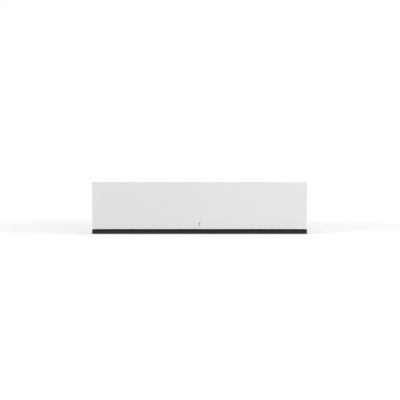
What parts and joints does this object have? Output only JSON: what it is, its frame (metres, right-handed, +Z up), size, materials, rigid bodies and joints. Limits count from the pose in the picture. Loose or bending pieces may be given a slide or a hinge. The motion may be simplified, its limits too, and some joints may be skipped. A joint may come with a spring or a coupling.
{
  "type": "built-in vacuum sealing drawer",
  "caption": "Built-in drawer with a glass front that pushes to open, holding a lidded vacuum chamber with a sealing bar, pump, valves and runners.",
  "frame": {"origin": "bottom centre of the closed drawer's bounding box, on the shelf it stands on", "axes": "+X to the right seen from the kitchen, -Y out of the front panel, +Z up"},
  "size_m": [0.596, 0.56, 0.1453],
  "materials": {
    "zinc_steel": "galvanised sheet",
    "grey_painted_steel": "smooth grey powder coat",
    "dark_coated_steel": "matt dark grey powder coat",
    "zinc_runner": "bright zinc plate",
    "bright_steel": "polished steel",
    "spring_steel": "oiled spring steel",
    "brushed_stainless": "lengthwise brushed",
    "drawn_stainless": "satin deep-drawn",
    "white_glass": "toughened glass painted white on its back",
    "black_glass": "toughened glass printed black on its back",
    "clear_glass": "clear toughened glass",
    "black_foam_tape": "foam tape",
    "grey_silicone": "translucent grey silicone",
    "red_silicone": "red-brown silicone",
    "black_rubber": "moulded rubber",
    "clear_rubber": "clear bumper rubber",
    "black_hose": "smooth hose",
    "black_cable": "matt cable sheath",
    "black_plastic": "moulded",
    "grey_plastic": "moulded",
    "grey_felt_plastic": "sliding pad",
    "cast_aluminium": "fine cast and machined",
    "motor_black": "black enamel",
    "brass_block": "machined",
    "laminated_iron": "varnished laminations",
    "circuit_board": "lacquered board",
    "bar_coating": "hard anodised",
    "brown_ptfe": "coated glass cloth"
  },
  "bodies": {
    "casing": {"casing_base": "zinc_steel", "casing_sides": "zinc_steel", "casing_back": "zinc_steel", "casing_rails": "zinc_steel", "vent_strip": "dark_coated_steel", "glides": "grey_felt_plastic", "casing_rivets": "bright_steel", "front_buffers": "clear_rubber", "runner_outer": "zinc_runner", "terminal_box": "black_plastic", "mains_gland": "grey_plastic", "latch_housing": "grey_plastic", "coiled_lead": "black_cable"},
    "runner_middles": {"runner_middle": "zinc_runner"},
    "outer_cages": {"outer_ball_cages": "bright_steel"},
    "inner_cages": {"inner_ball_cages": "bright_steel"},
    "drawer": {"runner_inner": "zinc_runner", "drawer_floor": "zinc_steel", "drawer_sides": "grey_painted_steel", "drawer_front_wall": "grey_painted_steel", "drawer_back": "zinc_steel", "deck_frame": "brushed_stainless", "rear_cover": "brushed_stainless", "drawer_rivets": "bright_steel", "striker": "bright_steel", "lead_clamp": "black_plastic", "front_glass": "white_glass", "glass_tape": "black_foam_tape", "front_carrier": "dark_coated_steel", "chamber_tub": "drawn_stainless", "chamber_seal": "grey_silicone", "suction_port": "drawn_stainless", "rubber_mounts": "black_rubber", "lift_cylinders": "grey_plastic", "hinge_blocks": "cast_aluminium", "hinge_pins": "bright_steel", "lid_springs": "spring_steel", "control_housing": "black_plastic", "control_glass": "black_glass", "control_board": "circuit_board", "pump_body": "cast_aluminium", "pump_motor": "motor_black", "exhaust_filter": "motor_black", "valve_block": "brass_block", "vacuum_hoses": "black_hose", "transformer": "laminated_iron", "power_board": "circuit_board", "fan_housing": "black_plastic"},
    "lid": {"lid_glass": "clear_glass", "lid_hinge_rail": "cast_aluminium", "counter_bar_holder": "cast_aluminium", "counter_bar": "red_silicone"},
    "seal_bar": {"sealing_bar": "bar_coating", "heating_strip": "spring_steel", "heating_cover": "brown_ptfe", "lift_pistons": "bright_steel"},
    "pump_shaft": {"pump_rotor": "bright_steel"},
    "fan": {"fan_impeller": "black_plastic"},
    "vacuum_valve": {"vacuum_plunger": "bright_steel"},
    "vent_valve": {"vent_plunger": "bright_steel"}
  },
  "joints": [
    {"name": "drawer_slide", "type": "slide", "parent": "casing", "child": "drawer", "axis": [0, -1, 0], "range_m": [-0.003, 0.44], "deforming": ["coiled_lead"]},
    {"name": "runner_middle_slide", "type": "slide", "parent": "casing", "child": "runner_middles", "axis": [0, -1, 0], "range_m": [-0.0015, 0.22]},
    {"name": "outer_cage_slide", "type": "slide", "parent": "casing", "child": "outer_cages", "axis": [0, -1, 0], "range_m": [-0.00075, 0.11]},
    {"name": "inner_cage_slide", "type": "slide", "parent": "casing", "child": "inner_cages", "axis": [0, -1, 0], "range_m": [-0.00225, 0.33]},
    {"name": "lid_hinge", "type": "hinge", "parent": "drawer", "child": "lid", "pos_m": [0, 0.158, 0.1188], "axis": [-1, 0, 0], "range_deg": [0, 68], "stiffness_Nm_per_rad": 5, "springref_deg": 106.57, "deforming": ["lid_springs"]},
    {"name": "sealing_bar_lift", "type": "slide", "parent": "drawer", "child": "seal_bar", "axis": [0, 0, 1], "range_m": [0, 0.006]},
    {"name": "pump_spin", "type": "hinge", "parent": "drawer", "child": "pump_shaft", "pos_m": [0, 0.17615, 0.0608], "axis": [1, 0, 0], "continuous": true},
    {"name": "fan_spin", "type": "hinge", "parent": "drawer", "child": "fan", "pos_m": [-0.2, 0.22, 0.0573], "axis": [0, 1, 0], "continuous": true},
    {"name": "vacuum_valve_lift", "type": "slide", "parent": "drawer", "child": "vacuum_valve", "axis": [0, 0, 1], "range_m": [0, 0.002], "stiffness_N_per_m": 400, "springref_m": -0.004},
    {"name": "vent_valve_lift", "type": "slide", "parent": "drawer", "child": "vent_valve", "axis": [0, 0, 1], "range_m": [0, 0.002], "stiffness_N_per_m": 400, "springref_m": -0.004}
  ],
  "couplings": [
    {"joint": "runner_middle_slide", "follows": "drawer_slide", "ratio": 0.5},
    {"joint": "outer_cage_slide", "follows": "drawer_slide", "ratio": 0.25},
    {"joint": "inner_cage_slide", "follows": "drawer_slide", "ratio": 0.75}
  ]
}
